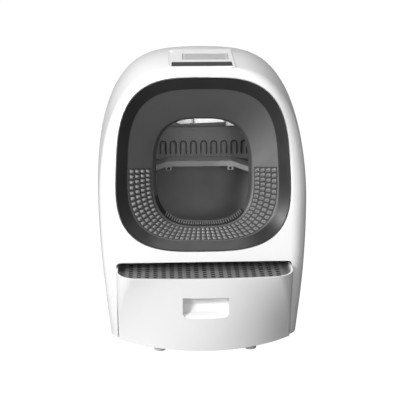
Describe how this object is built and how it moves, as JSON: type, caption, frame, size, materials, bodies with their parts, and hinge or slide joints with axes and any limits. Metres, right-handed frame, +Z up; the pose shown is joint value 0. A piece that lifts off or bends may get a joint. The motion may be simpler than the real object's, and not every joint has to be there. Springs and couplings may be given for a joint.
{
  "type": "self-cleaning litter box",
  "caption": "Upright self-cleaning litter box with a leaning front, rotating inner drum behind a dark entrance collar, perforated step and pull-out waste drawer.",
  "frame": {"origin": "on the floor under the middle of the overall box", "axes": "+Z up, front of the object towards -Y, +X to the right as seen from the front"},
  "size_m": [0.4902, 0.56, 0.628],
  "materials": {
    "white_shell": "satin",
    "top_panel": "satin",
    "dark_shell": "matte",
    "collar_grey": "satin",
    "comb_grey": "matte",
    "ledge_grey": "satin",
    "mesh_grey": "matte",
    "lens_dark": "gloss",
    "cartridge_grey": "matte",
    "rubber": "matte",
    "cable": "matte",
    "frame_grey": "matte",
    "nylon": "satin",
    "steel": "brushed",
    "motor_metal": "satin",
    "inlet_black": "matte",
    "board_green": "satin"
  },
  "bodies": {
    "housing": {"base_pan": "white_shell", "base_screws": "steel", "board_screws": "steel", "collar_seal": "rubber", "cover_screws": "steel", "dc_inlet": "inlet_black", "deck": "frame_grey", "display_board": "board_green", "display_lens": "lens_dark", "drawer_rails": "frame_grey", "entrance_collar": "collar_grey", "feet": "rubber", "front_shell": "white_shell", "gear_motor": "motor_metal", "home_sensor": "inlet_black", "main_board": "board_green", "motor_bracket": "steel", "motor_harness": "cable", "motor_screws": "steel", "presence_sensor": "inlet_black", "rear_cover": "white_shell", "rear_shell": "white_shell", "roller_axles": "steel", "roller_brackets": "frame_grey", "stud_band": "collar_grey", "top_plate": "top_panel"},
    "drum": {"drum_front_shell": "dark_shell", "drum_rear_shell": "dark_shell", "ring_gear": "nylon", "sieve_comb": "comb_grey", "sieve_ledge": "ledge_grey", "ledge_screws": "steel", "home_magnet": "steel"},
    "pinion": {"drive_pinion": "nylon", "output_shaft": "steel"},
    "drawer": {"drawer_front": "white_shell", "drawer_tub": "dark_shell", "step_mesh": "mesh_grey"},
    "cartridge": {"deodoriser_cartridge": "cartridge_grey"},
    "roller_1": {"support_roller_1": "nylon"},
    "roller_2": {"support_roller_2": "nylon"},
    "roller_3": {"support_roller_3": "nylon"},
    "roller_4": {"support_roller_4": "nylon"}
  },
  "joints": [
    {"name": "drum_spin", "type": "hinge", "parent": "housing", "child": "drum", "pos_m": [0, -0.00415, 0.36198], "axis": [0, -0.9724, 0.2334], "continuous": true},
    {"name": "pinion_spin", "type": "hinge", "parent": "housing", "child": "pinion", "pos_m": [0.18728, -0.09259, 0.27202], "axis": [0, -0.9724, 0.2334], "continuous": true},
    {"name": "drawer_slide", "type": "slide", "parent": "housing", "child": "drawer", "axis": [0, -1, 0], "range_m": [0, 0.3]},
    {"name": "cartridge_lift", "type": "slide", "parent": "housing", "child": "cartridge", "axis": [0, -0.1788, 0.9839], "range_m": [0, 0.035]},
    {"name": "roller_1_spin", "type": "hinge", "parent": "housing", "child": "roller_1", "pos_m": [-0.12746, -0.07656, 0.22315], "axis": [0, -0.9724, 0.2334], "continuous": true},
    {"name": "roller_2_spin", "type": "hinge", "parent": "housing", "child": "roller_2", "pos_m": [-0.12746, 0.01874, 0.20027], "axis": [0, -0.9724, 0.2334], "continuous": true},
    {"name": "roller_3_spin", "type": "hinge", "parent": "housing", "child": "roller_3", "pos_m": [0.12746, -0.07656, 0.22315], "axis": [0, -0.9724, 0.2334], "continuous": true},
    {"name": "roller_4_spin", "type": "hinge", "parent": "housing", "child": "roller_4", "pos_m": [0.12746, 0.01874, 0.20027], "axis": [0, -0.9724, 0.2334], "continuous": true}
  ],
  "couplings": [
    {"joint": "pinion_spin", "follows": "drum_spin", "ratio": -8},
    {"joint": "roller_1_spin", "follows": "drum_spin", "ratio": -13.143},
    {"joint": "roller_2_spin", "follows": "drum_spin", "ratio": -13.143},
    {"joint": "roller_3_spin", "follows": "drum_spin", "ratio": -13.143},
    {"joint": "roller_4_spin", "follows": "drum_spin", "ratio": -13.143}
  ]
}
